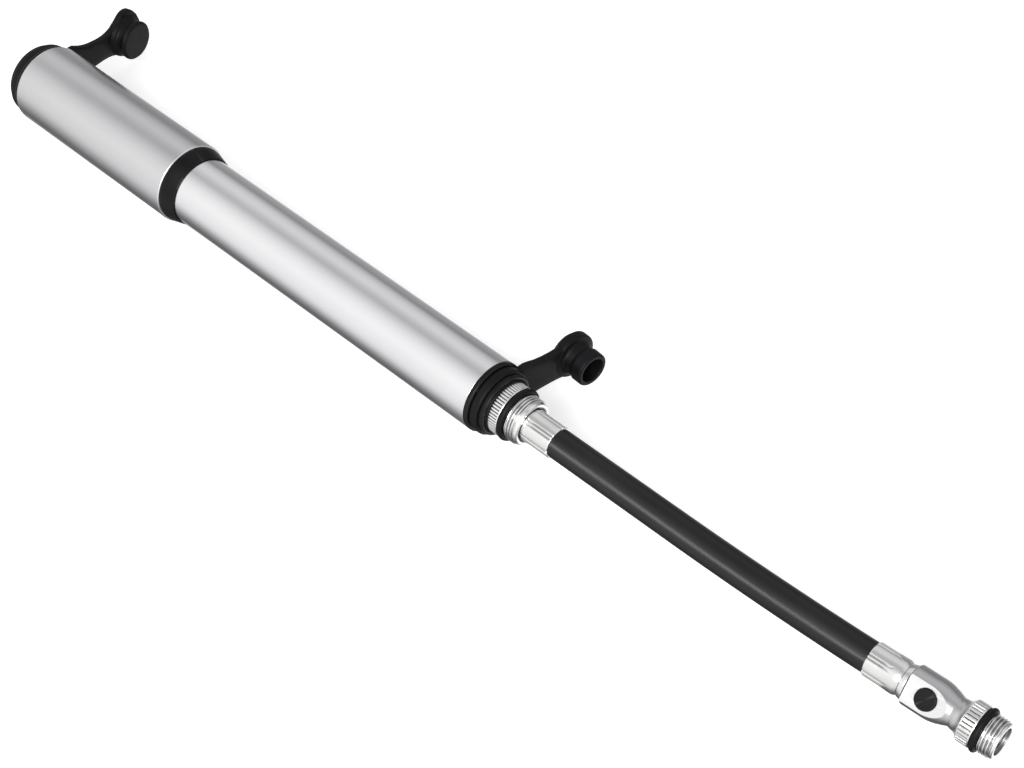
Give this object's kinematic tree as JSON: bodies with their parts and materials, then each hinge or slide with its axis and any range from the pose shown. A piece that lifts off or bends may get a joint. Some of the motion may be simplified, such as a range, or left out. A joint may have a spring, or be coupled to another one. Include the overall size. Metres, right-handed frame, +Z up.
{
  "type": "mini pump",
  "caption": "Telescoping mini hand pump with a hollow plunger handle, rubber flip caps and a flexible screw-on hose with a bleed chuck.",
  "frame": {"origin": "on the surface the pump lies on, under the middle of its bounding box", "axes": "+X along the pump's axis towards the hose, handle at -X; +Y along the flip-cap straps; +Z up when the pump lies flat"},
  "size_m": [0.3266, 0.0478, 0.0225],
  "materials": {
    "satin_aluminium": "satin anodised",
    "bright_aluminium": "machined and polished",
    "black_composite": "satin black",
    "black_rubber": "matt moulded rubber",
    "hose_rubber": "satin extruded rubber",
    "spring_steel": "bright drawn wire",
    "brass": "turned"
  },
  "bodies": {
    "barrel": {"barrel_tube": "satin_aluminium", "barrel_gland": "black_composite", "gland_seal": "black_rubber", "port_cap": "black_composite", "port_cap_oring": "black_rubber", "check_retainer": "brass"},
    "check_valve": {"check_poppet": "black_rubber", "check_spring": "spring_steel"},
    "handle": {"handle_tube": "satin_aluminium", "handle_collar": "black_composite", "shaft_anchor": "satin_aluminium", "anchor_set_screw": "spring_steel", "handle_end_cap": "black_composite", "plunger_shaft": "bright_aluminium", "piston_head": "bright_aluminium", "piston_guide_ring": "black_composite", "piston_seal": "black_rubber", "stroke_bumper": "black_rubber"},
    "handle_cap_ring": {"handle_cap_loop": "black_rubber"},
    "handle_flip_cap": {"handle_cap_strap": "black_rubber"},
    "port_cap_ring": {"port_cap_loop": "black_rubber"},
    "port_flip_cap": {"port_cap_strap": "black_rubber"},
    "port_seal": {"port_seal_oring": "black_rubber"},
    "hose_root": {"hose_fitting": "bright_aluminium", "fitting_oring": "black_rubber", "hose_barb_a": "brass", "ferrule_a": "bright_aluminium", "hose_length_1": "hose_rubber"},
    "hose_b": {"hose_length_2": "hose_rubber"},
    "hose_c": {"hose_length_3": "hose_rubber"},
    "hose_d": {"hose_length_4": "hose_rubber", "ferrule_b": "bright_aluminium", "hose_barb_b": "brass", "swivel_ring": "bright_aluminium"},
    "chuck": {"chuck_body": "satin_aluminium", "chuck_oring": "black_rubber", "valve_gasket": "black_rubber", "valve_insert": "bright_aluminium"},
    "bleed_button": {"bleed_button": "black_composite", "bleed_spring": "spring_steel"}
  },
  "joints": [
    {"name": "check_valve_lift", "type": "slide", "parent": "barrel", "child": "check_valve", "axis": [1, 0, 0], "range_m": [0, 0.0012], "stiffness_N_per_m": 30},
    {"name": "pump_stroke", "type": "slide", "parent": "barrel", "child": "handle", "axis": [-1, 0, 0], "range_m": [0, 0.128]},
    {"name": "handle_cap_ring_turn", "type": "hinge", "parent": "handle", "child": "handle_cap_ring", "pos_m": [-0.15844, -0.01267, 0.01125], "axis": [1, 0, 0], "continuous": true},
    {"name": "handle_cap_flip", "type": "hinge", "parent": "handle_cap_ring", "child": "handle_flip_cap", "pos_m": [-0.15844, -0.00072, 0.01125], "axis": [0, 0, 1], "range_deg": [-40, 90]},
    {"name": "port_cap_ring_turn", "type": "hinge", "parent": "barrel", "child": "port_cap_ring", "pos_m": [0.01876, -0.01267, 0.01125], "axis": [1, 0, 0], "continuous": true},
    {"name": "port_cap_flip", "type": "hinge", "parent": "port_cap_ring", "child": "port_flip_cap", "pos_m": [0.01876, -0.00217, 0.01125], "axis": [0, 0, 1], "range_deg": [-50, 72]},
    {"name": "port_seal_travel", "type": "slide", "parent": "barrel", "child": "port_seal", "axis": [1, 0, 0], "range_m": [0, 0.0033]},
    {"name": "hose_unscrew", "type": "hinge", "parent": "port_seal", "child": "hose_root", "pos_m": [0.02131, -0.01267, 0.01125], "axis": [1, 0, 0], "range_deg": [0, 1440]},
    {"name": "hose_bend", "type": "hinge", "parent": "hose_root", "child": "hose_b", "pos_m": [0.05416, -0.01267, 0.01125], "axis": [0, 0, 1], "range_deg": [-30, 30], "stiffness_Nm_per_rad": 0.02},
    {"name": "hose_bend_middle", "type": "hinge", "parent": "hose_b", "child": "hose_c", "pos_m": [0.08466, -0.01267, 0.01125], "axis": [0, 0, 1], "range_deg": [-30, 30]},
    {"name": "hose_bend_end", "type": "hinge", "parent": "hose_c", "child": "hose_d", "pos_m": [0.11515, -0.01203, 0.01125], "axis": [0, 0, 1], "range_deg": [-30, 30]},
    {"name": "chuck_swivel", "type": "hinge", "parent": "hose_d", "child": "chuck", "pos_m": [0.11515, -0.01203, 0.01125], "axis": [0.9986, 0.0523, 0], "continuous": true},
    {"name": "bleed_press", "type": "slide", "parent": "chuck", "child": "bleed_button", "axis": [-0.0429, 0.818, -0.5736], "range_m": [0, 0.0007], "stiffness_N_per_m": 400}
  ],
  "couplings": [
    {"joint": "port_seal_travel", "follows": "hose_unscrew", "m_per_rad": 0.00012732},
    {"joint": "hose_bend_middle", "follows": "hose_bend", "ratio": 1},
    {"joint": "hose_bend_end", "follows": "hose_bend", "ratio": 1}
  ]
}
